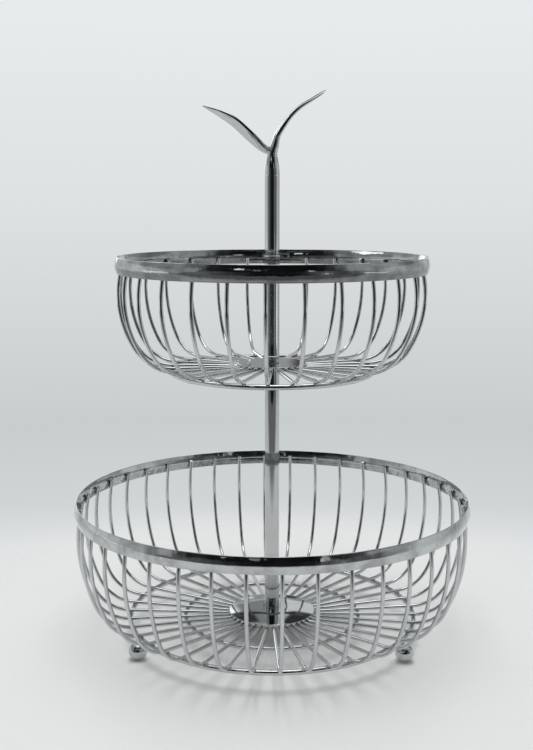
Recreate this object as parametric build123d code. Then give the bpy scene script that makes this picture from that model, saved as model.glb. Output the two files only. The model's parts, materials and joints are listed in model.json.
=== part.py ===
from build123d import *
from math import asin, atan2, cos, degrees, hypot, radians, sin, sqrt, tan
import os

# Tiered wire basket: two round wire baskets, one above the other, on a centre post with a two-leaf handle.
# Millimetres, +Z up. The origin is on the ground, on the axis of the post. The front of the basket is -Y.

# Wire, strip and plate stock
rib_wire = 2.8                 # diameter of every rib
ring_wire = 4.0                # diameter of the floor ring under each basket
mid_ring_wire = 3.2            # diameter of the second floor ring of the lower basket
band_height = 12.0             # height of the rolled strip round both rims
band_thickness = 1.0           # thickness of that strip
band_bulge = 1.7               # how far the strip's middle stands out beyond its edges
hub_thickness = 1.2            # plate thickness of both hub discs
hub_edge_round = 0.35          # rounding of the hub discs' upper edge
weld_gap = 0.02                # space between two welded pieces, so that each stays its own solid

# Lower basket
lower_rim_radius = 150.0       # widest outside radius of the lower rim
lower_ring_radius = 109.5      # centre line of the floor ring
lower_rim_above_ring = 95.0    # top edge of the rim above the centre of the floor ring
lower_rib_count = 40
lower_rib_turn = 2.3           # degrees from the front to the first rib
lower_wall_arc = 107.0         # radius of the rib's long wall curve
lower_bend_arc = 31.5          # radius of the bend between wall and floor
lower_bend_outset = 0.5        # where the bend ends, outside the floor ring
lower_floor_slope = 2.4        # degrees that the floor falls toward the hub
lower_rib_inner_radius = 24.0  # where the ribs end under the hub disc
lower_rib_top_drop = 4.5       # the ribs end this far below the rim's top edge
mid_ring_radius = 67.0         # centre line of the second floor ring
lower_hub_radius = 33.0
hub_dome_rise = 2.3            # height of the lower disc's dome
hub_pad_radius = 8.0           # flat seat in the middle of that dome

# Upper basket
upper_rim_radius = 116.0       # widest outside radius of the upper rim
upper_ring_radius = 75.0
upper_rim_above_ring = 85.9
upper_rib_count = 28
upper_rib_turn = 10.45         # degrees from the front to the first rib
upper_wall_arc = 77.0
upper_bend_arc = 31.5
upper_bend_outset = 0.5
upper_floor_slope = 0.0
upper_rib_inner_radius = 17.5
upper_rib_top_drop = 6.5
upper_hub_radius = 25.5

ribs_per_node = 2              # ribs are kept in pairs

# Ball feet
foot_ball_radius = 6.9
foot_flat_radius = 1.5         # small ground flat that each ball stands on
foot_outset = 2.5              # how far outside the floor ring's line the balls are welded
foot_turns = {"foot_left": -61.5, "foot_right": 59.5, "foot_rear": 180.0}

# Post, in two tubes that screw together through the upper hub
post_diameter = 11.0
post_wall = 1.0
lower_post_length = 190.6
upper_post_length = 79.9
tube_end_round = 0.6           # rounding of the tubes' outer end edges
insert_length = 16.0           # threaded plugs pressed into the tube ends
press_gap = 0.02               # radial space round a pressed plug
thread_diameter = 6.0          # all threads, drawn as plain cylinders
thread_gap = 0.05              # radial space in a thread
swivel_gap = 0.1               # radial space between the upper hub and its stud
swivel_end_gap = 0.05          # space above and below the upper hub
stud_reach = 13.0              # thread length of the tier stud in each tube
stud_end_chamfer = 0.5

# Screw that holds the lower tube down
screw_reach = 13.0
screw_head_diameter = 10.0
screw_head_height = 3.4
screw_head_round = 1.4
hex_key_width = 4.0            # across the flats of the key socket
hex_key_depth = 2.0
washer_diameter = 14.0
washer_thickness = 1.2
hub_screw_gap = 0.2            # radial space round the screw

# Handle
stem_length = 72.0
stem_taper_length = 14.5       # top stretch that narrows
stem_neck_radius = 3.85
stem_bore_depth = 50.0
handle_stud_reach = 10.0       # thread that screws out of the upper post
handle_stud_hold = 12.0        # thread that stays in the stem

# Leaves of the handle
leaf_width = 15.0
leaf_thickness = 3.2
leaf_edge = 0.9                # thickness of the leaf's edge
leaf_camber = 0.6              # how far the middle of the leaf hangs below its edges
left_leaf_foot = 2.45          # foot centre from the post's axis
left_leaf_reach = 48.2
left_leaf_rise = 36.0
left_leaf_roll = 24.0          # degrees that the left leaf's front edge is turned up
right_leaf_foot = 1.4
right_leaf_reach = 37.6
right_leaf_rise = 47.6
right_leaf_roll = 4.0

# Each leaf's cross-sections, from foot to tip. The columns are: share of the reach, share of the rise,
# degrees of the leaf above level, then shares of width, thickness, edge, camber and roll.
left_leaf_shares = [
    (0.000, 0.000, 90.0, 0.36, 0.75, 1.00, 0.00, 0.00),
    (0.085, 0.140, 46.0, 0.60, 1.45, 1.20, 0.00, 0.50),
    (0.211, 0.335, 44.0, 0.88, 1.25, 1.10, 0.60, 0.90),
    (0.343, 0.497, 41.0, 1.00, 1.05, 1.00, 1.00, 1.00),
    (0.497, 0.653, 36.0, 0.93, 1.00, 1.00, 1.00, 1.00),
    (0.727, 0.842, 28.0, 0.56, 0.80, 0.90, 0.60, 0.90),
    (1.000, 1.000, 24.0, 0.10, 0.25, 0.45, 0.10, 0.90),
]
right_leaf_shares = [
    (0.000, 0.000, 90.0, 0.38, 1.45, 1.10, 0.00, 0.00),
    (0.012, 0.127, 83.0, 0.46, 1.25, 1.10, 0.00, 0.50),
    (0.096, 0.374, 61.0, 0.80, 1.10, 1.00, 0.70, 1.00),
    (0.298, 0.574, 47.0, 1.00, 1.05, 1.00, 1.00, 1.00),
    (0.457, 0.700, 41.0, 0.94, 1.00, 1.00, 1.00, 1.00),
    (0.707, 0.849, 34.0, 0.60, 0.85, 0.90, 0.60, 1.00),
    (1.000, 1.000, 38.0, 0.12, 0.25, 0.45, 0.10, 1.00),
]

# Radii that follow from the diameters
rib_radius = rib_wire / 2
ring_radius = ring_wire / 2
mid_ring_wire_radius = mid_ring_wire / 2
post_radius = post_diameter / 2
bore_radius = post_radius - post_wall
thread_radius = thread_diameter / 2
hub_bore_radius = thread_radius + swivel_gap
on_base = (Align.CENTER, Align.CENTER, Align.MIN)

# Heights of the lower basket, from the ground up
foot_centre_z = sqrt(foot_ball_radius**2 - foot_flat_radius**2)
foot_circle_radius = lower_ring_radius + foot_outset
foot_to_ring = foot_ball_radius + ring_radius + weld_gap
lower_ring_z = foot_centre_z + sqrt(foot_to_ring**2 - foot_outset**2)
lower_rim_top = lower_ring_z + lower_rim_above_ring


def floor_height(radius, ring_z, ring_line, slope):
    """Height of a floor rib's centre line: it rests on the ring and falls toward the hub."""
    on_ring = ring_z + (ring_radius + rib_radius + weld_gap) / cos(radians(slope))
    return on_ring + (radius - ring_line) * tan(radians(slope))


def lower_floor(radius):
    return floor_height(radius, lower_ring_z, lower_ring_radius, lower_floor_slope)


lower_tilt = cos(radians(lower_floor_slope))
mid_ring_z = lower_floor(mid_ring_radius) - (rib_radius + mid_ring_wire_radius + weld_gap) / lower_tilt
lower_hub_under = lower_floor(lower_hub_radius) + (rib_radius + weld_gap) / lower_tilt
lower_pad_top = lower_hub_under + hub_thickness + hub_dome_rise

# Heights of the post and the upper basket
lower_post_top = lower_pad_top + lower_post_length
upper_hub_under = lower_post_top + swivel_end_gap
upper_hub_top = upper_hub_under + hub_thickness
upper_post_base = upper_hub_top + swivel_end_gap
upper_post_top = upper_post_base + upper_post_length
upper_rib_z = upper_hub_under - weld_gap - rib_radius
upper_ring_z = upper_rib_z - rib_radius - weld_gap - ring_radius
upper_rim_top = upper_ring_z + upper_rim_above_ring
stem_top = upper_post_top + stem_length


def rim_band(rim_radius, top):
    """Rolled strip round a rim: its outer and inner faces are two parallel arcs."""
    edge_radius = rim_radius - band_bulge
    bottom = top - band_height
    middle = top - band_height / 2
    outer = ThreePointArc((edge_radius, 0, bottom), (rim_radius, 0, middle), (edge_radius, 0, top))
    inner = ThreePointArc(
        (edge_radius - band_thickness, 0, top),
        (rim_radius - band_thickness, 0, middle),
        (edge_radius - band_thickness, 0, bottom),
    )
    lip = Line(outer @ 1, inner @ 0)
    foot = Line(inner @ 1, outer @ 0)
    return revolve(make_face([outer, lip, inner, foot]), Axis.Z)


def floor_ring(line_radius, wire_radius, height):
    return Pos(0, 0, height) * Torus(line_radius, wire_radius)


def circle_crossing(first, first_radius, second, second_radius):
    """Inner crossing of two circles in the (radius, height) plane."""
    across = second[0] - first[0]
    up = second[1] - first[1]
    apart = hypot(across, up)
    along = (first_radius**2 - second_radius**2 + apart**2) / (2 * apart)
    aside = sqrt(first_radius**2 - along**2)
    base = (first[0] + along * across / apart, first[1] + along * up / apart)
    one = (base[0] + aside * up / apart, base[1] - aside * across / apart)
    other = (base[0] - aside * up / apart, base[1] + aside * across / apart)
    return min(one, other)


def rib(rim_radius, rim_top, top_drop, wall_arc, bend_arc, bend_radius, floor_at, slope, inner_radius):
    """One wire: a wall curve that touches the rim band's lower edge, a bend, and a straight floor run."""
    band_corner = (rim_radius - band_bulge - band_thickness, rim_top - band_height)
    tilt = radians(slope)
    bend_centre = (bend_radius - bend_arc * sin(tilt), floor_at(bend_radius) + bend_arc * cos(tilt))
    wall_reach = wall_arc + rib_radius + weld_gap
    wall_centre = circle_crossing(bend_centre, wall_arc - bend_arc, band_corner, wall_reach)

    def on_arc(centre, arc_radius, angle):
        return (centre[0] + arc_radius * cos(angle), 0, centre[1] + arc_radius * sin(angle))

    top_angle = asin((rim_top - top_drop - wall_centre[1]) / wall_arc)
    join_angle = atan2(bend_centre[1] - wall_centre[1], bend_centre[0] - wall_centre[0])
    floor_angle = tilt - radians(90)
    start = on_arc(wall_centre, wall_arc, top_angle)
    wall = ThreePointArc(
        start,
        on_arc(wall_centre, wall_arc, (top_angle + join_angle) / 2),
        on_arc(wall_centre, wall_arc, join_angle),
    )
    bend = ThreePointArc(
        wall @ 1,
        on_arc(bend_centre, bend_arc, (join_angle + floor_angle) / 2),
        on_arc(bend_centre, bend_arc, floor_angle),
    )
    floor = Line(bend @ 1, (inner_radius, 0, floor_at(inner_radius)))
    path = Wire([wall, bend, floor])
    section = Plane(origin=start, z_dir=wall % 0) * Circle(rib_radius)
    return sweep(section, path=path)


def rib_nodes(name, wire, count, turn):
    """Copies of one rib round the basket, in nodes of neighbouring ribs. Angles run from the front (-Y)."""
    nodes = {}
    step = 360 / count
    for first in range(0, count, ribs_per_node):
        turns = [turn - 90 + step * index for index in range(first, first + ribs_per_node)]
        number = first // ribs_per_node + 1
        nodes[f"{name}_{number:02d}"] = Compound([Rot(0, 0, angle) * wire.solid() for angle in turns])
    return nodes


def lower_hub_disc():
    """Plate with a low dome and a flat seat for the post, bored for the base screw."""
    run = lower_hub_radius - hub_pad_radius
    dome_arc = (run**2 + hub_dome_rise**2) / (2 * hub_dome_rise)
    half_angle = asin(run / dome_arc) / 2
    bore = thread_radius + hub_screw_gap
    pad_under = lower_pad_top - hub_thickness

    def half_way(pad_z):
        return (hub_pad_radius + dome_arc * sin(half_angle), 0, pad_z - dome_arc * (1 - cos(half_angle)))

    edge_top = lower_hub_under + hub_thickness
    pad = Line((bore, 0, lower_pad_top), (hub_pad_radius, 0, lower_pad_top))
    dome = ThreePointArc(pad @ 1, half_way(lower_pad_top), (lower_hub_radius, 0, edge_top))
    rim = Line(dome @ 1, (lower_hub_radius, 0, lower_hub_under))
    under = ThreePointArc(rim @ 1, half_way(pad_under), (hub_pad_radius, 0, pad_under))
    seat = Line(under @ 1, (bore, 0, pad_under))
    wall = Line(seat @ 1, pad @ 0)
    section = make_face([pad, dome, rim, under, seat, wall])
    corner = section.vertices().sort_by(Axis.X)[-2:].sort_by(Axis.Z)[-1]
    return revolve(fillet(corner, hub_edge_round), Axis.Z)


def upper_hub_disc():
    plate = Pos(0, 0, upper_hub_under) * Cylinder(upper_hub_radius, hub_thickness, align=on_base)
    plate -= Pos(0, 0, upper_hub_under) * Cylinder(hub_bore_radius, hub_thickness, align=on_base)
    upper_edges = plate.edges().filter_by(GeomType.CIRCLE).group_by(Axis.Z)[-1]
    return fillet(upper_edges.sort_by(SortBy.RADIUS)[-1], hub_edge_round)


def ball_foot(turn):
    """Ball with a small flat to stand on, under the floor ring."""
    place = Rot(0, 0, turn - 90) * Pos(foot_circle_radius, 0, foot_centre_z)
    ball = place * Sphere(foot_ball_radius)
    ground = Pos(0, 0, -foot_ball_radius) * Cylinder(
        foot_circle_radius + foot_ball_radius, foot_ball_radius, align=on_base
    )
    return ball - ground


def tube(base, length):
    """Post tube with rounded outer end edges."""
    body = Pos(0, 0, base) * Cylinder(post_radius, length, align=on_base)
    body = fillet(body.edges().filter_by(GeomType.CIRCLE), tube_end_round)
    return body - Pos(0, 0, base) * Cylinder(bore_radius, length, align=on_base)


def insert(base):
    """Threaded plug pressed into a tube end."""
    plug = Pos(0, 0, base) * Cylinder(bore_radius - press_gap, insert_length, align=on_base)
    return plug - Pos(0, 0, base) * Cylinder(thread_radius + thread_gap, insert_length, align=on_base)


def stud(base, length):
    """Threaded rod, chamfered at both ends."""
    rod = Pos(0, 0, base) * Cylinder(thread_radius, length, align=on_base)
    return chamfer(rod.edges().filter_by(GeomType.CIRCLE), stud_end_chamfer)


def base_washer():
    under = lower_pad_top - hub_thickness - washer_thickness
    ring = Pos(0, 0, under) * Cylinder(washer_diameter / 2, washer_thickness, align=on_base)
    return ring - Pos(0, 0, under) * Cylinder(thread_radius + hub_screw_gap, washer_thickness, align=on_base)


def base_screw():
    """Screw from below: round head with a key socket, shank up into the lower tube's plug."""
    seat = lower_pad_top - hub_thickness - washer_thickness
    head = Pos(0, 0, seat - screw_head_height) * Cylinder(
        screw_head_diameter / 2, screw_head_height, align=on_base
    )
    head = fillet(head.edges().filter_by(GeomType.CIRCLE).sort_by(Axis.Z)[0], screw_head_round)
    shank_length = washer_thickness + hub_thickness + screw_reach
    shank = stud(seat - stud_end_chamfer, shank_length + stud_end_chamfer)
    socket = extrude(RegularPolygon(hex_key_width / 2, 6, major_radius=False), hex_key_depth)
    return head + shank - Pos(0, 0, seat - screw_head_height) * socket


def handle_stem():
    """Tube with a closed, narrowing top that carries the leaves."""
    taper_base = stem_top - stem_taper_length
    drop = post_radius - stem_neck_radius
    taper_arc = (stem_taper_length**2 + drop**2) / (2 * drop)
    half_angle = asin(stem_taper_length / taper_arc) / 2
    half_way = (
        post_radius - taper_arc * (1 - cos(half_angle)),
        0,
        taper_base + taper_arc * sin(half_angle),
    )
    side = Line((post_radius, 0, upper_post_top), (post_radius, 0, taper_base))
    taper = ThreePointArc(side @ 1, half_way, (stem_neck_radius, 0, stem_top))
    top = Line(taper @ 1, (0, 0, stem_top))
    axis_side = Line(top @ 1, (0, 0, upper_post_top))
    base = Line(axis_side @ 1, side @ 0)
    body = revolve(make_face([side, taper, top, axis_side, base]), Axis.Z)
    foot_edge = body.edges().filter_by(GeomType.CIRCLE).sort_by(Axis.Z)[0]
    body = fillet(foot_edge, tube_end_round)
    return body - Pos(0, 0, upper_post_top) * Cylinder(bore_radius, stem_bore_depth, align=on_base)


def leaf_section(row, side, foot, reach, rise, roll):
    """One cross-section of a leaf: two arcs joined by short edges, set square to the leaf's line."""
    along, up, level, wide, thick, edge, camber, roll_part = row
    turn = radians(level)
    centre = (side * (foot + reach * along), 0, stem_top + rise * up)
    rolled = radians(roll * roll_part)
    forward = (side * cos(turn), 0, sin(turn))
    upward = (-side * sin(turn), 0, cos(turn))
    across = (upward[0] * sin(rolled), -cos(rolled), upward[2] * sin(rolled))
    plane = Plane(origin=centre, x_dir=across, z_dir=forward)
    lift = -side
    half_width = leaf_width * wide / 2
    half_edge = leaf_edge * edge / 2
    half_thick = leaf_thickness * thick / 2
    hang = leaf_camber * camber
    lower = ThreePointArc(
        (-half_width, -half_edge * lift), (0, (-half_thick - hang) * lift), (half_width, -half_edge * lift)
    )
    upper = ThreePointArc(
        (half_width, half_edge * lift), (0, (half_thick - hang) * lift), (-half_width, half_edge * lift)
    )
    right = Line(lower @ 1, upper @ 0)
    left = Line(upper @ 1, lower @ 0)
    return plane * make_face([lower, right, upper, left])


def leaf(rows, side, foot, reach, rise, roll):
    """Leaf lofted through its cross-sections. The side is -1 for the left leaf and 1 for the right one."""
    return loft([leaf_section(row, side, foot, reach, rise, roll) for row in rows])


def lower_basket():
    wire = rib(
        lower_rim_radius, lower_rim_top, lower_rib_top_drop, lower_wall_arc, lower_bend_arc,
        lower_ring_radius + lower_bend_outset, lower_floor, lower_floor_slope, lower_rib_inner_radius,
    )
    nodes = {
        "lower_rim_band": rim_band(lower_rim_radius, lower_rim_top),
        "lower_outer_ring": floor_ring(lower_ring_radius, ring_radius, lower_ring_z),
        "lower_mid_ring": floor_ring(mid_ring_radius, mid_ring_wire_radius, mid_ring_z),
        "lower_hub_disc": lower_hub_disc(),
        "base_washer": base_washer(),
        "base_screw": base_screw(),
    }
    nodes.update(rib_nodes("lower_ribs", wire, lower_rib_count, lower_rib_turn))
    nodes.update({name: ball_foot(turn) for name, turn in foot_turns.items()})
    return nodes


def upper_floor(radius):
    return floor_height(radius, upper_ring_z, upper_ring_radius, upper_floor_slope)


def upper_basket():
    wire = rib(
        upper_rim_radius, upper_rim_top, upper_rib_top_drop, upper_wall_arc, upper_bend_arc,
        upper_ring_radius + upper_bend_outset, upper_floor, upper_floor_slope, upper_rib_inner_radius,
    )
    nodes = {
        "upper_rim_band": rim_band(upper_rim_radius, upper_rim_top),
        "upper_outer_ring": floor_ring(upper_ring_radius, ring_radius, upper_ring_z),
        "upper_hub_disc": upper_hub_disc(),
    }
    nodes.update(rib_nodes("upper_ribs", wire, upper_rib_count, upper_rib_turn))
    return nodes


def centre_post():
    tier_stud_length = 2 * stud_reach + hub_thickness + 2 * swivel_end_gap
    return {
        "lower_post": tube(lower_pad_top, lower_post_length),
        "lower_post_foot_insert": insert(lower_pad_top),
        "lower_post_top_insert": insert(lower_post_top - insert_length),
        "tier_stud": stud(lower_post_top - stud_reach, tier_stud_length),
        "upper_post": tube(upper_post_base, upper_post_length),
        "upper_post_foot_insert": insert(upper_post_base),
        "upper_post_top_insert": insert(upper_post_top - insert_length),
    }


def handle():
    return {
        "handle_stud": stud(upper_post_top - handle_stud_reach, handle_stud_reach + handle_stud_hold),
        "handle_insert": insert(upper_post_top),
        "handle_stem": handle_stem(),
        "left_leaf": leaf(
            left_leaf_shares, -1, left_leaf_foot, left_leaf_reach, left_leaf_rise, left_leaf_roll
        ),
        "right_leaf": leaf(
            right_leaf_shares, 1, right_leaf_foot, right_leaf_reach, right_leaf_rise, right_leaf_roll
        ),
    }


os.makedirs("parts", exist_ok=True)
for group in (lower_basket(), upper_basket(), centre_post(), handle()):
    for node, shape in group.items():
        export_step(shape, f"parts/{node}.step")
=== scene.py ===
import json
from math import cos, pi, radians, sin

import bmesh
import bpy
from mathutils import Euler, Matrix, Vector


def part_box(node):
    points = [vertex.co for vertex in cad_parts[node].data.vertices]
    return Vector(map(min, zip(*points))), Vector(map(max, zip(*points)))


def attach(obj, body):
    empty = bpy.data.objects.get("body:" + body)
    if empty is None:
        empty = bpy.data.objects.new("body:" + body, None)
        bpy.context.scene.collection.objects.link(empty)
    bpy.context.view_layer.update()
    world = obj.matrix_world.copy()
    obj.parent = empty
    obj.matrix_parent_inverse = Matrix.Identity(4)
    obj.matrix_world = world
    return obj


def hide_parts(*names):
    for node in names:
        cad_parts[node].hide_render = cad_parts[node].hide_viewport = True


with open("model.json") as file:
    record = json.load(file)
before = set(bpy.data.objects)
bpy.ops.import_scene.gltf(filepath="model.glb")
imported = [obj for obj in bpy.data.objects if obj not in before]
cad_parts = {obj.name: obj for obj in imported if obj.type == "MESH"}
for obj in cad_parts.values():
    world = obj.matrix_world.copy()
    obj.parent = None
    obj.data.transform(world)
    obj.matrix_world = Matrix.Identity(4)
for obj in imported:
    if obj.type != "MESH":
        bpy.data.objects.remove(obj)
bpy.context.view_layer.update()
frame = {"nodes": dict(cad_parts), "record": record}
scene = bpy.context.scene
nodes = frame["nodes"]

MM = 0.001

# ---- Numbers of the studio: lengths in metres, angles in degrees ----

# Camera, fitted to the photograph's rims, floor rings, feet and post
camera_place = (-0.0042, -0.7995, 0.3312)
camera_tilt = 9.12
camera_sensor = 36.0
camera_lens = 51.6
camera_clip = (0.01, 50.0)

# Wall that the eye sees, by elevation
table_colour = (0.745, 0.750, 0.745)
wall_colours = [
    (-90, table_colour),
    (-17.7, (0.745, 0.765, 0.775)),
    (-15.7, (0.63, 0.66, 0.67)),
    (-11.5, (0.575, 0.61, 0.615)),
    (-5.1, (0.66, 0.69, 0.70)),
    (0.0, (0.725, 0.755, 0.765)),
    (10.1, (0.80, 0.835, 0.845)),
    (30.0, (0.83, 0.86, 0.87)),
]

# Tones of the room that the metal mirrors, by turn from the camera's side: near the horizon, and
# above that up to the ceiling
low_room_tones = [
    (-180, 0.74), (-157, 0.72), (-154, 0.22), (-151, 0.62), (-120, 0.78), (-95, 0.66), (-75, 0.50),
    (-65, 0.32), (-57, 0.18), (-40, 0.10), (-25, 0.045), (-13, 0.012), (12, 0.012), (22, 0.03),
    (30, 0.12), (36, 0.20), (44, 0.12), (52, 0.09), (60, 0.20), (69, 0.37), (89, 0.66), (112, 0.56),
    (151, 0.58), (154, 0.22), (157, 0.72), (180, 0.74),
]
high_room_tones = [
    (-180, 0.60), (-157, 0.58), (-151, 0.44), (-136, 0.34), (-121, 0.62), (-107, 0.30), (-98, 0.40),
    (-70, 0.36), (-62, 0.34), (-54, 0.12), (-47, 0.03), (-30, 0.010), (34, 0.010), (48, 0.08),
    (60, 0.42), (76, 0.50), (100, 0.46), (114, 0.30), (136, 0.32), (151, 0.40), (157, 0.58),
    (180, 0.60),
]
ceiling_tone = 1.0
ceiling_lamp_tone = 2.4
# Elevations over which each zone passes into the next one up
high_room_rise = (10, 15)
ceiling_rise = (58, 66)
ceiling_lamp_rise = (72, 80)
room_cloud = [(0.3, 0.72), (0.7, 1.25)]
room_tint = (0.975, 1.0, 1.005)
# Windows and dark things in that room: the side that the turn is counted from, turn to the right,
# half width, lower and upper elevation, width of the soft edge, tone
room_panels = [
    ("front", -92, 10.0, -10, -5, 5.0, 1.4),
    ("front", 78, 8.0, -11, -6, 5.0, 1.3),
    ("front", -60, 4.0, 5, 22, 4.0, 0.45),
    ("front", 38, 1.0, -9, -2, 1.0, 0.9),
    ("front", -24, 3.0, 23, 28, 1.5, 1.5),
    ("front", -10, 2.0, 20, 25, 2.0, 0.3),
    ("front", 28, 1.5, 12, 18, 1.5, 0.7),
    ("back", -1, 7.0, 3, 12, 3.0, 0.36),
    ("back", 3, 1.2, 4, 9, 0.8, 0.06),
    ("back", -4, 0.8, 6, 10, 0.8, 0.9),
    ("back", 9, 8.0, 14, 25, 1.5, 0.80),
    ("back", -5, 4.5, 17, 40, 2.5, 0.30),
    ("back", -17, 6.5, 4, 30, 4.0, 1.8),
    ("back", -9.5, 4.5, 27, 38, 2.0, 0.05),
    ("back", 11, 5.5, 27, 40, 2.0, 0.04),
]

lamp_power = 7.4
lamp_width, lamp_length = 0.30, 1.6
lamp_places = {"left_lamp": (-0.2, -0.1, 1.7), "right_lamp": (0.2, -0.1, 1.7)}
# White cards: glow, width, place. They face the middle of the leaves
cards = {
    "left_card": (2.2, 0.22, (-0.37, 0.10, 0.64)),
    "right_card": (2.2, 0.16, (0.20, 0.10, 0.68)),
}
leaf_middle = (0.0, 0.0, 0.39)

floor_half_width, floor_front, floor_back = 1.6, -0.95, 2.2
floor_grain = [(0.3, (0.790, 0.790, 0.785)), (0.7, (0.805, 0.805, 0.800))]
# Places along y from where the floor is dark to where it is pale
floor_dark_span, floor_dark_tone = (-0.54, -0.27), 0.16
# Distances from the post over which the eye sees the floor pass into the wall
floor_fade_span = (0.23, 0.36)
floor_glow_share = 0.1

# ---- Numbers of the metals, in metres ----

# Heights over which the lower basket's metal tone passes into the upper rim's painted shade
between_baskets = (0.18, 0.24)
# Painted shade: the upper rim's colour is darkened to stand for its darker reflection, and more so
# along its lower half
upper_rim_painted_shade_tone = 0.80
upper_rim_lower_half_painted_shade_tone = 0.62
upper_rim_middle = (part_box("upper_rim_band")[0].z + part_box("upper_rim_band")[1].z) / 2
upper_rim_halves = (upper_rim_middle - 0.0030, upper_rim_middle + 0.0005)
# Stains: where in the noise the metal has its darkest tone, its tint and its brightest tone, and
# the brightest tone as a share of the tint
stain_low_at, stain_middle_at, stain_high_at = 0.34, 0.55, 0.72
stain_high = 1.05
# Smudges: where in the noise the metal is glossiest and dullest
smudge_span = (0.35, 0.70)
smudge_scale = 140.0
# Finish of each material slot. Rough is least and most roughness, wave is size and height,
# stain_low is the darkest tone as a share of the tint, and the upper rim flag paints shade into the
# upper rim's colour
finishes = {
    "chrome_wire": dict(tint=(0.57, 0.59, 0.60), rough=(0.04, 0.10), wave=(0.012, 0.00006)),
    "chrome_band": dict(tint=(0.55, 0.575, 0.585), rough=(0.05, 0.13), wave=(0.009, 0.00035),
                        stain_size=0.016, stain_low=0.62, painted_upper_rim_shade=True),
    "chrome_plate": dict(tint=(0.56, 0.58, 0.59), rough=(0.03, 0.09), wave=(0.020, 0.00010)),
    "chrome_tube": dict(tint=(0.56, 0.58, 0.59), rough=(0.03, 0.08), wave=(0.015, 0.00003)),
    "chrome_leaf": dict(tint=(0.56, 0.58, 0.59), rough=(0.04, 0.09), wave=(0.015, 0.00001)),
    "zinc_steel": dict(tint=(0.50, 0.50, 0.48), rough=(0.22, 0.38), wave=(0.004, 0.00002),
                       stain_size=0.008),
}

# ---- Numbers of the shapes ----

# Section of both rims in metres, and its steps
lip_radius = 0.0005
lip_steps = 5
face_steps = 12
band_around = 288

# Leaves, in millimetres. Rows: x, z, half width, half thickness, camber, roll in degrees, and
# squareness of the section (2 is an ellipse)
left_rows = [
    (1.0, 367.9, 3.0, 2.4, 0.0, 4.0, 2.0),
    (-1.4, 368.0, 3.5, 2.5, 0.0, 6.0, 2.1),
    (-4.0, 368.8, 4.3, 2.6, 0.0, 10.0, 2.3),
    (-7.4, 370.9, 5.5, 2.5, 0.0, 16.0, 2.7),
    (-13.2, 376.2, 6.7, 2.25, 0.1, 20.0, 3.2),
    (-19.5, 382.0, 7.2, 2.0, 0.2, 21.0, 3.4),
    (-27.6, 388.9, 6.7, 1.75, 0.2, 22.0, 3.4),
    (-38.2, 395.0, 4.5, 1.45, 0.1, 22.0, 3.0),
    (-46.5, 398.6, 1.9, 0.9, 0.0, 22.0, 2.4),
    (-50.5, 400.3, 0.4, 0.30, 0.0, 22.0, 2.0),
]
right_rows = [
    (0.0, 366.2, 3.83, 3.78, 0.0, 0.0, 2.0),
    (0.6, 368.4, 3.9, 3.5, 0.0, -1.0, 2.1),
    (1.7, 371.5, 4.4, 3.1, 0.0, -3.0, 2.4),
    (2.7, 376.0, 5.2, 2.6, 0.0, -6.0, 2.8),
    (4.0, 380.0, 6.0, 2.35, 0.0, -7.0, 3.2),
    (8.2, 386.9, 6.9, 2.1, 0.0, -7.0, 3.4),
    (13.2, 393.3, 7.2, 1.8, 0.1, -6.0, 3.4),
    (20.6, 399.8, 6.3, 1.5, 0.1, -5.0, 3.4),
    (30.0, 405.6, 4.2, 1.15, 0.0, -9.0, 2.8),
    (35.6, 409.2, 2.4, 0.85, 0.0, -16.0, 2.3),
    (38.7, 411.4, 0.6, 0.4, 0.0, -16.0, 2.0),
]
leaf_steps = 12
leaf_around = 72
crotch_bead = ((-1.9, -0.6, 370.2), (2.0, 3.2, 1.6))
# Taper of the stem under the leaves, and the skin of weld metal laid over it
stem_taper_length = 14.5
stem_neck_radius = 3.85
neck_steps = 14
weld_skin = 0.04

# Thread of the handle's stud, in millimetres
thread_depth, thread_pitch = 0.55, 1.0
thread_chamfer = 0.6
thread_row_height = 0.1
thread_around = 40
# Slope of the thread's flank, and the share that is cut off it for a flat crest. Both are shares
# of the depth, and the root is flat where the flank would go deeper
thread_flank, thread_crest = 1.35, 0.1

# Weld beads in millimetres: radii along their three axes, then how far from the edge of what they
# hold they sit. A rib's bead has its axes outward, sideways and up
ring_bead = (1.7, 1.6, 0.75)
hub_bead, hub_bead_inset = (2.4, 1.9, 0.8), 1.2
rim_bead, rim_bead_inset, rim_bead_rise = (0.9, 1.9, 1.9), 2.9, 1.8
foot_bead, foot_bead_lift = (2.1, 1.9, 0.9), 0.1
bead_around, bead_high = 12, 7


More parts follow.
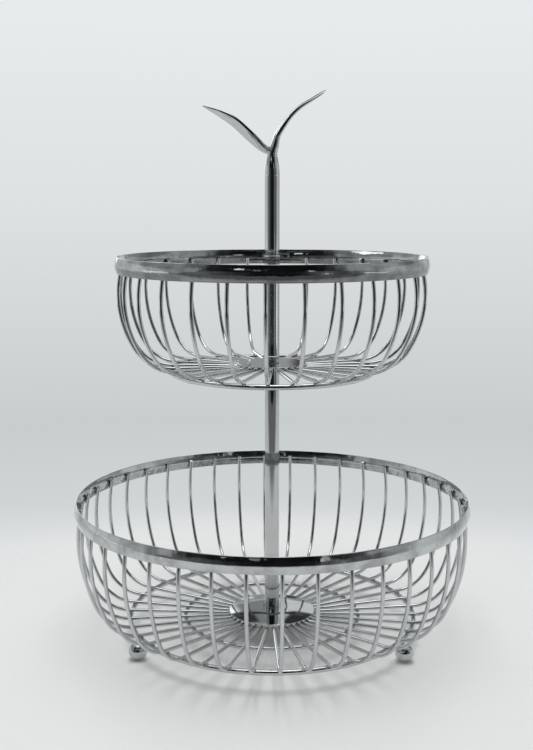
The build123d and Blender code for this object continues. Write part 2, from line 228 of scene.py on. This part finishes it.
class Graph:
    """Small wrapper that adds nodes to a tree and links them."""

    # Inputs and output of the Mix node that belong to colours, and inputs of Map Range
    MIX_FACTOR, MIX_A, MIX_B, MIX_RESULT = 0, 6, 7, 2
    VALUE, FROM_LOW, FROM_HIGH, TO_LOW, TO_HIGH = range(5)

    def __init__(self, tree):
        self.tree = tree
        tree.nodes.clear()

    def add(self, kind, inputs=None, **settings):
        node = self.tree.nodes.new(kind)
        for name, value in settings.items():
            setattr(node, name, value)
        for name, value in (inputs or {}).items():
            socket = node.inputs[name]
            if isinstance(value, bpy.types.NodeSocket):
                self.tree.links.new(value, socket)
            else:
                socket.default_value = value
        return node

    def math(self, operation, a, b=0.0, c=0.0):
        return self.add("ShaderNodeMath", {0: a, 1: b, 2: c}, operation=operation).outputs[0]

    def map_range(self, value, low, high, to_low, to_high, **settings):
        spans = {
            self.VALUE: value, self.FROM_LOW: low, self.FROM_HIGH: high,
            self.TO_LOW: to_low, self.TO_HIGH: to_high,
        }
        return self.add("ShaderNodeMapRange", spans, **settings).outputs[0]

    def smooth(self, value, low, high):
        """0 below low, 1 above high, smooth between."""
        return self.map_range(value, low, high, 0.0, 1.0, interpolation_type="SMOOTHSTEP")

    def rest(self, share):
        return self.math("SUBTRACT", 1.0, share)

    def noise(self, place, scale, detail, roughness=0.5):
        inputs = {"Vector": place, "Scale": scale, "Detail": detail, "Roughness": roughness}
        return self.add("ShaderNodeTexNoise", inputs).outputs["Fac"]

    def ramp(self, value, stops):
        """Colour or tone by value, straight between the stops."""
        node = self.add("ShaderNodeValToRGB", {0: value})
        ramp = node.color_ramp
        while len(ramp.elements) < len(stops):
            ramp.elements.new(1.0)
        for element, (place, colour) in zip(ramp.elements, stops):
            element.position = place
            grey = (colour,) * 3 if isinstance(colour, (int, float)) else colour
            element.color = (*grey, 1.0)
        return node.outputs[0]

    def mix(self, factor, a, b, blend="MIX"):
        node = self.add("ShaderNodeMix", data_type="RGBA", blend_type=blend)
        for index, value in ((self.MIX_FACTOR, factor), (self.MIX_A, a), (self.MIX_B, b)):
            socket = node.inputs[index]
            if isinstance(value, bpy.types.NodeSocket):
                self.tree.links.new(value, socket)
            elif isinstance(value, (int, float)):
                socket.default_value = value if socket.type == "VALUE" else (value,) * 3 + (1.0,)
            else:
                socket.default_value = (*value, 1.0)
        return node.outputs[self.MIX_RESULT]

    def times(self, colour, other):
        return self.mix(1.0, colour, other, "MULTIPLY")


def add_object(name, data):
    thing = bpy.data.objects.new(name, data)
    scene.collection.objects.link(thing)
    return thing


def make_camera():
    """The photograph's view: a little over the upper rim, looking slightly down."""
    data = bpy.data.cameras.new("camera")
    data.sensor_width = camera_sensor
    data.lens = camera_lens
    data.clip_start, data.clip_end = camera_clip
    camera = add_object("camera", data)
    camera.location = camera_place
    camera.rotation_euler = Euler((radians(90 - camera_tilt), 0.0, 0.0))
    scene.camera = camera


def make_world():
    """A pale studio wall all round for the eye. The metal and the floor see the real room: a pale
    wall behind the basket, a dark room on the camera's side, windows left and right, and a
    ceiling."""
    world = bpy.data.worlds.new("studio")
    scene.world = world
    world.use_nodes = True
    g = Graph(world.node_tree)
    direction = g.add("ShaderNodeTexCoord").outputs["Generated"]
    x, y, z = g.add("ShaderNodeSeparateXYZ", {0: direction}).outputs
    front_angle = g.math("ARCTAN2", x, g.math("MULTIPLY", y, -1.0))
    turns = {
        "front": g.math("MULTIPLY", front_angle, 180 / pi),
        "back": g.math("MULTIPLY", g.math("ARCTAN2", x, y), 180 / pi),
    }

    def over(low, high):
        """0 below the low elevation, 1 above the high one."""
        return g.smooth(z, sin(radians(low)), sin(radians(high)))

    def panel(turn, centre, half_width, low, high, soft):
        """Mask of a soft-edged upright rectangle in the room."""
        away = g.math("ABSOLUTE", g.math("SUBTRACT", turn, centre))
        inside = g.rest(g.smooth(away, half_width, half_width + soft))
        above, below = over(low - soft, low), g.rest(over(high, high + soft))
        return g.math("MULTIPLY", inside, g.math("MULTIPLY", above, below))

    height = g.math("MULTIPLY_ADD", z, 0.5, 0.5)
    wall = g.ramp(height, [
        (0.5 + 0.5 * sin(radians(elevation)), colour) for elevation, colour in wall_colours
    ])
    around = g.math("MULTIPLY_ADD", front_angle, 1 / (2 * pi), 0.5)
    low_room, high_room = (
        g.ramp(around, [(0.5 + turn / 360, tone) for turn, tone in tones])
        for tones in (low_room_tones, high_room_tones)
    )
    seen = g.mix(over(*high_room_rise), low_room, high_room)
    seen = g.mix(over(*ceiling_rise), seen, ceiling_tone)
    seen = g.mix(over(*ceiling_lamp_rise), seen, ceiling_lamp_tone)
    seen = g.times(seen, g.ramp(g.noise(direction, 3.5, detail=3.0), room_cloud))
    for side, centre, half_width, low, high, soft, tone in room_panels:
        seen = g.mix(panel(turns[side], centre, half_width, low, high, soft), seen, tone)
    seen = g.times(seen, room_tint)
    path = g.add("ShaderNodeLightPath")
    colour = g.mix(path.outputs["Is Camera Ray"], seen, wall)
    background = g.add("ShaderNodeBackground", {"Color": colour, "Strength": 1.0})
    g.add("ShaderNodeOutputWorld", {"Surface": background.outputs[0]})


def make_lamp(name, place):
    """Long soft lamp overhead that looks straight down. The metal sees the ceiling in its place."""
    data = bpy.data.lights.new(name, "AREA")
    data.shape = "RECTANGLE"
    data.size, data.size_y = lamp_width, lamp_length
    data.energy = lamp_power
    lamp = add_object(name, data)
    lamp.location = place
    lamp.visible_camera = False
    lamp.visible_glossy = False


def make_card(name, glow, width, place):
    """White card beside the handle, seen in the metal alone."""
    data = bpy.data.lights.new(name, "AREA")
    data.size = width
    data.energy = glow * pi * width ** 2
    card = add_object(name, data)
    card.location = place
    toward = Vector(leaf_middle) - Vector(place)
    card.rotation_euler = toward.to_track_quat("-Z", "Y").to_euler()
    card.visible_camera = False
    card.visible_diffuse = False


def make_floor():
    """Pale table top. It is dark toward the camera, where only the metal sees it, and for the eye
    it passes into the wall away from the basket."""
    mesh = bpy.data.meshes.new("floor")
    left, right, front, back = -floor_half_width, floor_half_width, floor_front, floor_back
    corners = [(left, front, 0), (right, front, 0), (right, back, 0), (left, back, 0)]
    mesh.from_pydata(corners, [], [(0, 1, 2, 3)])
    floor = add_object("floor", mesh)
    material = bpy.data.materials.new("floor")
    material.use_nodes = True
    g = Graph(material.node_tree)
    place = g.add("ShaderNodeTexCoord").outputs["Object"]
    far = g.add("ShaderNodeVectorMath", {0: place}, operation="LENGTH").outputs["Value"]
    near = g.add("ShaderNodeSeparateXYZ", {0: place}).outputs["Y"]
    colour = g.ramp(g.noise(place, 9.0, detail=4.0), floor_grain)
    shade = g.ramp(g.smooth(near, *floor_dark_span), [(0.0, floor_dark_tone), (1.0, 1.0)])
    surface = g.add("ShaderNodeBsdfPrincipled", {
        "Base Color": g.times(colour, shade), "Roughness": 0.65, "Specular IOR Level": 0.2,
    })
    clear = g.add("ShaderNodeBsdfTransparent")
    glow = g.add("ShaderNodeEmission", {"Color": (*table_colour, 1.0), "Strength": 1.0})
    path = g.add("ShaderNodeLightPath")
    seen = g.math("MAXIMUM", path.outputs["Is Camera Ray"], path.outputs["Is Glossy Ray"])
    pale = g.add("ShaderNodeMixShader", {
        0: g.math("MULTIPLY", seen, floor_glow_share), 1: surface.outputs[0], 2: glow.outputs[0],
    })
    fade = g.math("MULTIPLY", g.smooth(far, *floor_fade_span), path.outputs["Is Camera Ray"])
    both = g.add("ShaderNodeMixShader", {0: fade, 1: pale.outputs[0], 2: clear.outputs[0]})
    g.add("ShaderNodeOutputMaterial", {"Surface": both.outputs[0]})
    mesh.materials.append(material)


def make_metal(name, tint, rough, wave, stain_size=0.03, stain_low=0.90, painted_upper_rim_shade=False):
    """Bare or plated metal: small changes of tone and gloss, smudges, and the slight waves of the
    metal under the plating. The upper rim can get painted shade: a darker colour than the lower
    one, more so along its lower half, standing for its darker reflection."""
    material = bpy.data.materials.new(name)
    material.use_nodes = True
    g = Graph(material.node_tree)
    place = g.add("ShaderNodeTexCoord").outputs["Object"]
    colour = g.ramp(g.noise(place, 1 / stain_size, detail=5.0, roughness=0.6), [
        (stain_low_at, tuple(stain_low * c for c in tint)),
        (stain_middle_at, tint),
        (stain_high_at, tuple(min(1.0, stain_high * c) for c in tint)),
    ])
    # Painted shade: the upper rim's colour is darkened for a darker reflection, more along its
    # lower half
    if painted_upper_rim_shade:
        height = g.add("ShaderNodeSeparateXYZ", {0: place}).outputs["Z"]
        upper = g.smooth(height, *between_baskets)
        lower_half = g.math("MULTIPLY", upper, g.rest(g.smooth(height, *upper_rim_halves)))
        colour = g.times(colour, g.ramp(upper, [(0.0, 1.0), (1.0, upper_rim_painted_shade_tone)]))
        colour = g.times(colour, g.ramp(lower_half, [(0.0, 1.0), (1.0, upper_rim_lower_half_painted_shade_tone)]))
    smudge = g.noise(place, smudge_scale, detail=6.0, roughness=0.65)
    wave_size, wave_height = wave
    waves = g.noise(place, 1 / wave_size, detail=2.0, roughness=0.4)
    bump = g.add("ShaderNodeBump", {"Strength": 1.0, "Distance": wave_height, "Height": waves})
    gloss = g.map_range(smudge, *smudge_span, *rough)
    shader = g.add("ShaderNodeBsdfPrincipled", {
        "Base Color": colour, "Metallic": 1.0, "Roughness": gloss, "Normal": bump.outputs[0],
    })
    g.add("ShaderNodeOutputMaterial", {"Surface": shader.outputs[0]})
    return material


metals = {name: make_metal(name, **finish) for name, finish in finishes.items()}
slots = {part["node"]: part["material_slot"] for part in frame["record"]["subparts"]}
for name, node in nodes.items():
    node.data.materials.clear()
    node.data.materials.append(metals[slots[name]])


def add_piece(name, points, faces, body, slot, smooth=True):
    """Makes a mesh object from points in metres and gives it its metal and its body."""
    mesh = bpy.data.meshes.new(name)
    mesh.from_pydata([tuple(p) for p in points], [], faces)
    work = bmesh.new()
    work.from_mesh(mesh)
    bmesh.ops.recalc_face_normals(work, faces=work.faces)
    work.to_mesh(mesh)
    work.free()
    mesh.polygons.foreach_set("use_smooth", [smooth] * len(mesh.polygons))
    mesh.materials.append(metals[slot])
    piece = add_object(name, mesh)
    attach(piece, body)
    return piece


def corners_mm(node):
    """Lowest and highest corner of a CAD node, in millimetres."""
    low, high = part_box(node)
    return low / MM, high / MM


def skin(rings, closed_path=False):
    """Faces between neighbouring rings of points. Open paths get a cap at each end."""
    count = len(rings[0])
    points = [p for ring in rings for p in ring]
    faces = []
    spans = len(rings) if closed_path else len(rings) - 1
    for i in range(spans):
        j = (i + 1) % len(rings)
        for k in range(count):
            n = (k + 1) % count
            faces.append((i * count + k, i * count + n, j * count + n, j * count + k))
    if not closed_path:
        faces.append(tuple(range(count)))
        faces.append(tuple(range((len(rings) - 1) * count, len(rings) * count)))
    return points, faces


def band_section(half, outer_bulge, inner_bulge, roundness):
    """Closed outline of a rim's strip as distance out and height: two bulging faces between two
    rounded lips. Roundness is 1 for a sharp ridge along the middle and 2 for an even curve."""
    face = half - lip_radius

    def side_of_strip(bulge):
        """From the lower lip to the upper one."""
        points = []
        for step in range(lip_steps):
            turn = pi / 2 * step / lip_steps
            points.append((lip_radius * sin(turn), -face - lip_radius * cos(turn)))
        for step in range(2 * face_steps + 1):
            share = step / face_steps - 1
            out = lip_radius + (bulge - lip_radius) * (1 - abs(share) ** roundness)
            points.append((out, face * share))
        for step in range(1, lip_steps):
            turn = pi / 2 * step / lip_steps
            points.append((lip_radius * cos(turn), face + lip_radius * sin(turn)))
        return points

    inner = [(-out, up) for out, up in side_of_strip(inner_bulge)]
    return side_of_strip(outer_bulge) + [(0.0, half)] + inner[:0:-1]


def rolled_band(name, node, body, outer_bulge, inner_bulge, roundness):
    """The rolled strip round a rim with the full, rounded section of the real one, in place of
    the plain solid."""
    low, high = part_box(node)
    edge_line = high.x - outer_bulge
    middle, half = (high.z + low.z) / 2, (high.z - low.z) / 2
    section = band_section(half, outer_bulge, inner_bulge, roundness)
    profile = [(edge_line + out, middle + up) for out, up in section]
    rings = []
    for index in range(band_around):
        angle = 2 * pi * index / band_around
        rings.append([(r * cos(angle), r * sin(angle), z) for r, z in profile])
    points, faces = skin(rings, closed_path=True)
    piece = add_piece(name, points, faces, body, "chrome_band")
    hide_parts(node)


def spline(rows, steps):
    """Smooth rows between the given ones (Catmull-Rom), steps to each span."""
    result = []
    for i in range(len(rows) - 1):
        before, start = rows[max(i - 1, 0)], rows[i]
        end, after = rows[i + 1], rows[min(i + 2, len(rows) - 1)]
        last_span = i == len(rows) - 2
        for step in range(steps + last_span):
            t = step / steps
            result.append([
                0.5 * (2 * b + (c - a) * t + (2 * a - 5 * b + 4 * c - d) * t * t
                       + (3 * b - a - 3 * c + d) * t ** 3)
                for a, b, c, d in zip(before, start, end, after)
            ])
    return result


def signed_power(value, power):
    return (abs(value) ** power) * (1 if value >= 0 else -1)


def leaf(name, node, rows, side):
    """Leaf with a full, rounded cross-section, swept along its rows. Side is 1 for the right one
    and -1 for the left one."""
    fine = spline(rows, leaf_steps)
    rings = []
    for i, (x, z, half_width, half_thick, camber, roll, power) in enumerate(fine):
        ahead, behind = fine[min(i + 1, len(fine) - 1)], fine[max(i - 1, 0)]
        forward = Vector((ahead[0] - behind[0], 0, ahead[1] - behind[1])).normalized()
        upward = Vector((-forward.z, 0, forward.x)) * side
        turn = radians(roll)
        across = Vector((0, -1, 0)) * cos(turn) + upward * sin(turn)
        normal = upward * cos(turn) + Vector((0, 1, 0)) * sin(turn)
        ring = []
        for k in range(leaf_around):
            angle = 2 * pi * k / leaf_around
            u = signed_power(cos(angle), 2 / power)
            v = signed_power(sin(angle), 2 / power)
            lift = half_thick * v - camber * (0.5 - u * u)
            ring.append((Vector((x, 0, z)) + across * (half_width * u) + normal * lift) * MM)
        rings.append(ring)
    points, faces = skin(rings)
    piece = add_piece(name, points, faces, "handle", "chrome_leaf")
    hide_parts(node)


def neck_rows(stem):
    """Rows of a leaf's root that cover the stem's taper, so that the two flow into each other.
    The first one lies just inside the stem."""
    high = corners_mm(stem)[1]
    drop = high.x - stem_neck_radius
    arc = (stem_taper_length ** 2 + drop ** 2) / (2 * drop)
    rows = []
    for step in range(neck_steps + 1):
        along = stem_taper_length * step / neck_steps
        radius = high.x - (arc - (arc ** 2 - along ** 2) ** 0.5) + weld_skin
        if step == 0:
            radius -= 3 * weld_skin
        rows.append((0.0, high.z - stem_taper_length + along, radius, radius, 0.0, 0.0, 2.0))
    return rows


def lump(centre, axes, radii):
    """Points and faces of a small rounded bead."""
    points = [centre + axes[2] * radii[2]]
    for i in range(1, bead_high):
        tilt = pi * i / bead_high
        for k in range(bead_around):
            turn = 2 * pi * k / bead_around
            points.append(centre + axes[0] * (radii[0] * sin(tilt) * cos(turn))
                          + axes[1] * (radii[1] * sin(tilt) * sin(turn))
                          + axes[2] * (radii[2] * cos(tilt)))
    points.append(centre - axes[2] * radii[2])
    faces = []
    for k in range(bead_around):
        n = (k + 1) % bead_around
        faces.append((0, 1 + k, 1 + n))
        for i in range(bead_high - 2):
            a, b = 1 + i * bead_around, 1 + (i + 1) * bead_around
            faces.append((a + k, b + k, b + n, a + n))
        last = 1 + (bead_high - 2) * bead_around
        faces.append((last + k, len(points) - 1, last + n))
    return points, faces


def beads(name, body, slot, places):
    """One piece of many weld beads. Each place is centre, three axes and radii along them, in
    millimetres."""
    points, faces = [], []
    for centre, axes, radii in places:
        new_points, new_faces = lump(Vector(centre), axes, radii)
        base = len(points)
        points += [p * MM for p in new_points]
        faces += [tuple(base + v for v in face) for face in new_faces]
    add_piece(name, points, faces, body, slot)


def basket_welds(name, body, count, first_turn, rings, disc, rim):
    """Weld beads of a basket's ribs: over its floor rings, under its hub disc and inside its rim
    band."""
    disc_low, disc_high = corners_mm(disc)
    rim_low, rim_high = corners_mm(rim)
    spots = []
    for ring in rings:
        low, high = corners_mm(ring)
        wire_radius = (high.z - low.z) / 2
        spots.append((high.x - wire_radius, high.z, ring_bead))
    spots.append((disc_high.x - hub_bead_inset, disc_low.z, hub_bead))
    spots.append((rim_high.x - rim_bead_inset, rim_low.z + rim_bead_rise, rim_bead))
    places = []
    for index in range(count):
        angle = radians(first_turn - 90 + 360 / count * index)
        out = Vector((cos(angle), sin(angle), 0))
        sideways = Vector((-sin(angle), cos(angle), 0))
        axes = (out, sideways, out.cross(sideways))
        for distance, height, radii in spots:
            places.append((out * distance + Vector((0, 0, height)), axes, radii))
    beads(name, body, "chrome_wire", places)


def foot_bead_place(foot, ring):
    """Place of the weld bead between a ball foot and the floor ring that it holds."""
    ring_low, ring_high = corners_mm(ring)
    ring_radius = ring_high.x - (ring_high.z - ring_low.z) / 2
    low, high = corners_mm(foot)
    ball_radius = (high.x - low.x) / 2
    centre = Vector(((low.x + high.x) / 2, (low.y + high.y) / 2, high.z - ball_radius))
    angle = Vector((1, 0)).angle_signed(centre.xy) * -1
    ring_middle = (ring_high.z + ring_low.z) / 2
    ring_point = Vector((ring_radius * cos(angle), ring_radius * sin(angle), ring_middle))
    toward = (ring_point - centre).normalized()
    side = Vector((-sin(angle), cos(angle), 0))
    axes = (side, toward.cross(side), toward)
    return centre + toward * (ball_radius + foot_bead_lift), axes, foot_bead


def thread(name, node, body):
    """Screw thread of the handle's stud in place of its plain cylinder."""
    low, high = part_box(node)
    top, bottom, major = high.z / MM, low.z / MM, high.x / MM
    rows = int((top - bottom) / thread_row_height)
    rings = []
    for i in range(rows + 1):
        z = bottom + (top - bottom) * i / rows
        end = min(z - bottom, top - z)
        cap = major - max(0.0, thread_chamfer - end)
        ring = []
        for k in range(thread_around):
            phase = (z / thread_pitch - k / thread_around) % 1.0
            flank = thread_flank * abs(2 * phase - 1) - thread_crest
            r = min(cap, major - thread_depth * min(1.0, max(0.0, flank)))
            turn = 2 * pi * k / thread_around
            ring.append((r * cos(turn) * MM, r * sin(turn) * MM, z * MM))
        rings.append(ring)
    points, faces = skin(rings)
    piece = add_piece(name, points, faces, body, "zinc_steel", smooth=False)
    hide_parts(node)


rolled_band("lower_rolled_rim", "lower_rim_band", "stand",
            outer_bulge=0.0020, inner_bulge=0.0017, roundness=1.4)
rolled_band("upper_rolled_rim", "upper_rim_band", "upper_basket",
            outer_bulge=0.0018, inner_bulge=0.0020, roundness=1.8)
leaf("left_leaf_cast", "left_leaf", left_rows, side=-1)
leaf("right_leaf_cast", "right_leaf", neck_rows("handle_stem") + right_rows, side=1)
upright_axes = (Vector((1, 0, 0)), Vector((0, 1, 0)), Vector((0, 0, 1)))
crotch_place, crotch_radii = crotch_bead
beads("leaf_crotch_web", "handle", "chrome_leaf", [(crotch_place, upright_axes, crotch_radii)])
thread("handle_stud_thread", "handle_stud", "handle_screw")
basket_welds("lower_welds", "stand", count=40, first_turn=2.3, disc="lower_hub_disc",
             rim="lower_rim_band", rings=["lower_outer_ring", "lower_mid_ring"])
basket_welds("upper_welds", "upper_basket", count=28, first_turn=10.45, disc="upper_hub_disc",
             rim="upper_rim_band", rings=["upper_outer_ring"])
beads("foot_welds", "stand", "chrome_wire", [
    foot_bead_place(foot, "lower_outer_ring") for foot in ("foot_left", "foot_right", "foot_rear")
])

make_camera()
make_world()
for name, place in lamp_places.items():
    make_lamp(name, place)
for name, (glow, width, place) in cards.items():
    make_card(name, glow, width, place)
make_floor()

scene.view_settings.view_transform = "Standard"
